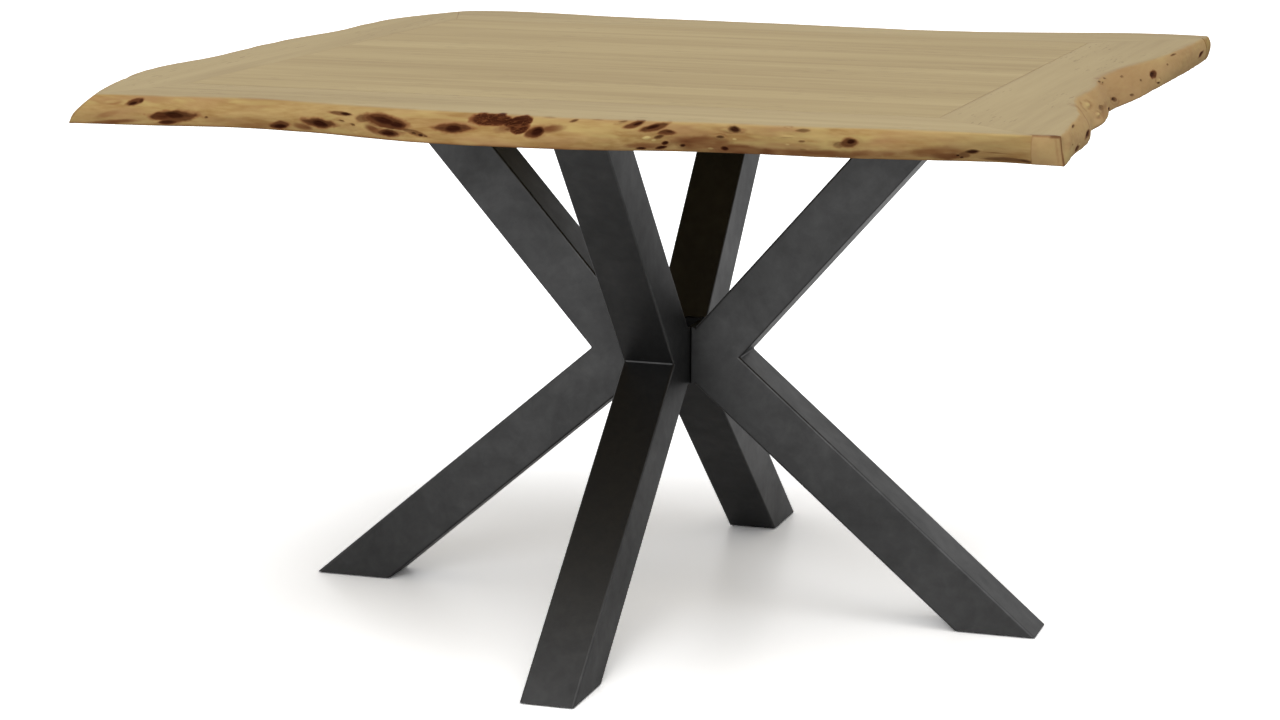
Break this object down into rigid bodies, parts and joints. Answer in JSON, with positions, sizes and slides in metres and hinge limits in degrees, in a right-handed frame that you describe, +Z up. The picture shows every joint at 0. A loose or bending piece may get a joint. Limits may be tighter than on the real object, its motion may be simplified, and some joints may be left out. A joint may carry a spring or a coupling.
{
  "type": "dining table",
  "caption": "Square live-edge dining table: mitred waney frame boards round a field of boards, on a dark steel spider base of mitred square tube with levelling glides.",
  "frame": {"origin": "on the floor under the middle of the hub, the middle of the table's box", "axes": "+Z up, +X along the front edge to the right, -Y towards the viewer of the picture"},
  "size_m": [1.2866, 1.25, 0.75],
  "materials": {
    "live_edge_wood": "matt lacquered, knotty waney edge",
    "field_wood": "matt lacquered, straight grain along X",
    "spline_wood": "planed",
    "base_steel": "near-black mottled satin coat",
    "fastener_steel": "zinc plated",
    "glide_plastic": "moulded"
  },
  "bodies": {
    "table": {"field_board_1": "field_wood", "field_board_2": "field_wood", "field_board_3": "field_wood", "field_board_4": "field_wood", "field_board_5": "field_wood", "field_board_6": "field_wood", "field_board_7": "field_wood", "field_board_8": "field_wood", "frame_board_front": "live_edge_wood", "frame_board_right": "live_edge_wood", "frame_board_back": "live_edge_wood", "frame_board_left": "live_edge_wood", "mitre_splines": "spline_wood", "upper_arm_front": "base_steel", "lower_leg_front": "base_steel", "hub_plate_front": "base_steel", "mounting_plate_front": "base_steel", "sole_plate_front": "base_steel", "upper_arm_right": "base_steel", "lower_leg_right": "base_steel", "hub_plate_right": "base_steel", "mounting_plate_right": "base_steel", "sole_plate_right": "base_steel", "upper_arm_back": "base_steel", "lower_leg_back": "base_steel", "hub_plate_back": "base_steel", "mounting_plate_back": "base_steel", "sole_plate_back": "base_steel", "upper_arm_left": "base_steel", "lower_leg_left": "base_steel", "hub_plate_left": "base_steel", "mounting_plate_left": "base_steel", "sole_plate_left": "base_steel", "knee_welds": "base_steel", "hub_post": "base_steel", "hub_bolts": "fastener_steel", "hub_nuts": "fastener_steel", "top_bolts": "fastener_steel", "top_washers": "fastener_steel", "top_inserts": "fastener_steel"},
    "glide_front": {"levelling_glide_front": "fastener_steel", "glide_pad_front": "glide_plastic"},
    "glide_right": {"levelling_glide_right": "fastener_steel", "glide_pad_right": "glide_plastic"},
    "glide_back": {"levelling_glide_back": "fastener_steel", "glide_pad_back": "glide_plastic"},
    "glide_left": {"levelling_glide_left": "fastener_steel", "glide_pad_left": "glide_plastic"}
  },
  "joints": [
    {"name": "glide_front_height", "type": "slide", "parent": "table", "child": "glide_front", "axis": [0, 0, -1], "range_m": [0, 0.01]},
    {"name": "glide_right_height", "type": "slide", "parent": "table", "child": "glide_right", "axis": [0, 0, -1], "range_m": [0, 0.01]},
    {"name": "glide_back_height", "type": "slide", "parent": "table", "child": "glide_back", "axis": [0, 0, -1], "range_m": [0, 0.01]},
    {"name": "glide_left_height", "type": "slide", "parent": "table", "child": "glide_left", "axis": [0, 0, -1], "range_m": [0, 0.01]}
  ]
}
